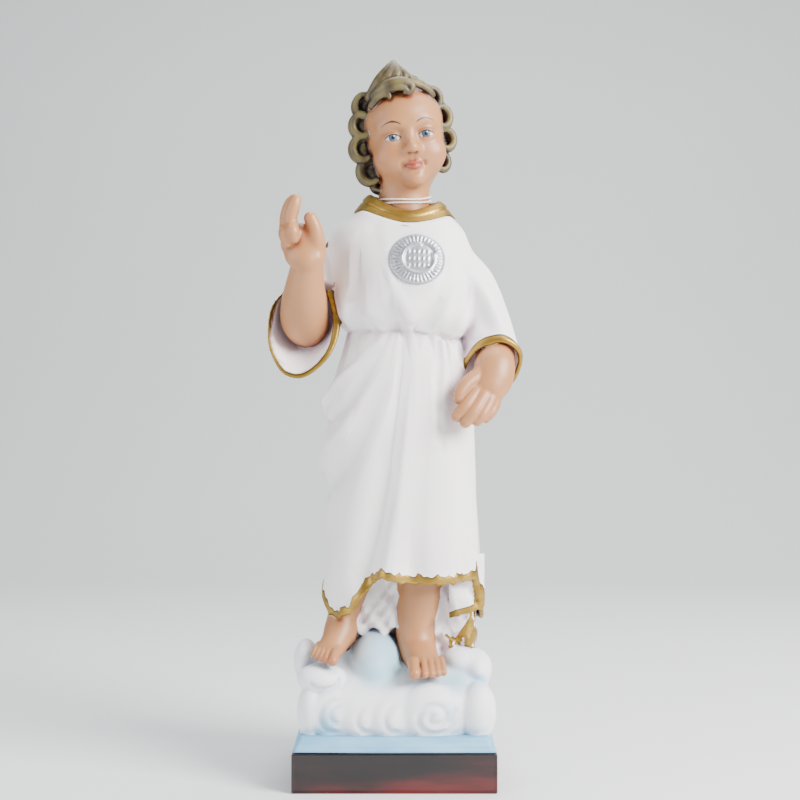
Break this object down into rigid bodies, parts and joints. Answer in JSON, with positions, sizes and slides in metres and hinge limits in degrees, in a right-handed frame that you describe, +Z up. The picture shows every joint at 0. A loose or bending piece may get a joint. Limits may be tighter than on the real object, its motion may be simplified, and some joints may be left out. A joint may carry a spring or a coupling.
{
  "type": "painted devotional statuette",
  "caption": "Painted plaster figure of a blessing child in a long white robe with gold hems, standing barefoot on a bank of clouds over a dark red lacquered plinth.",
  "frame": {"origin": "middle of the plinth's flat underside", "axes": "+Z up, -Y the way the figure faces, +X towards the figure's left hand"},
  "size_m": [0.1395, 0.1, 0.4007],
  "materials": {
    "dark_lacquer": "glossy dark red-brown lacquer with softer red streaks",
    "painted_plaster": "smooth cast plaster, hand painted in satin white, skin, pale blue, brown, gold and silver",
    "white_thread": "matt white twisted thread"
  },
  "bodies": {
    "root": {"plinth": "dark_lacquer", "figure": "painted_plaster", "neck_thread": "white_thread"}
  },
  "joints": []
}
